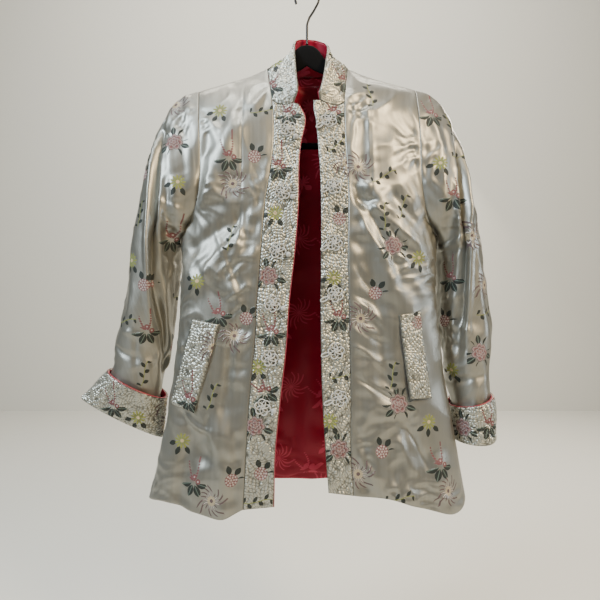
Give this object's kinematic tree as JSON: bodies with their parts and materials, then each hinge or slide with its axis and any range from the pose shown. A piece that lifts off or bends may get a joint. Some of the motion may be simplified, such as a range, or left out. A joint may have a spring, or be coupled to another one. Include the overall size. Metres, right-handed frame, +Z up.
{
  "type": "quilted jacket and its hanger",
  "caption": "Silver satin brocade Chinese jacket hanging open on a slim velvet hanger: standing collar, quilted front bands and turned-up cuffs, frogs, slanting pocket welts, crimson lining.",
  "frame": {"origin": "inner top of the hanger's hook, the point that rests on a rail or peg", "axes": "+X to the wearer's left (right in the picture), -Y the way the front faces, +Z up"},
  "size_m": [0.701, 0.1565, 0.8623],
  "materials": {
    "silver_brocade_satin": "silver-grey satin with woven flower sprays",
    "quilted_brocade": "the same satin, closely quilted",
    "crimson_lining": "crimson satin, tone-on-tone jacquard",
    "white_cord": "white satin cord",
    "black_velvet": "flocked velvet",
    "dark_wire": "dark wire"
  },
  "bodies": {
    "root": {"back": "silver_brocade_satin", "band_left": "quilted_brocade", "band_right": "quilted_brocade", "collar": "quilted_brocade", "collar_lining": "crimson_lining", "cuff_left": "quilted_brocade", "cuff_lining_left": "crimson_lining", "cuff_lining_right": "crimson_lining", "cuff_right": "quilted_brocade", "frog_left_1": "white_cord", "frog_left_2": "white_cord", "frog_left_3": "white_cord", "frog_left_4": "white_cord", "frog_left_5": "white_cord", "frog_left_6": "white_cord", "frog_right_1": "white_cord", "frog_right_2": "white_cord", "frog_right_3": "white_cord", "frog_right_4": "white_cord", "frog_right_5": "white_cord", "frog_right_6": "white_cord", "front_left": "silver_brocade_satin", "front_right": "silver_brocade_satin", "hanger": "black_velvet", "hanger_bar": "black_velvet", "hanger_hook": "dark_wire", "knot_1": "white_cord", "knot_2": "white_cord", "knot_3": "white_cord", "knot_4": "white_cord", "knot_5": "white_cord", "knot_6": "white_cord", "lining_back": "crimson_lining", "loop_1": "white_cord", "loop_2": "white_cord", "loop_3": "white_cord", "loop_4": "white_cord", "loop_5": "white_cord", "loop_6": "white_cord", "pocket_left": "quilted_brocade", "pocket_right": "quilted_brocade", "sleeve_left": "silver_brocade_satin", "sleeve_right": "silver_brocade_satin"}
  },
  "joints": []
}
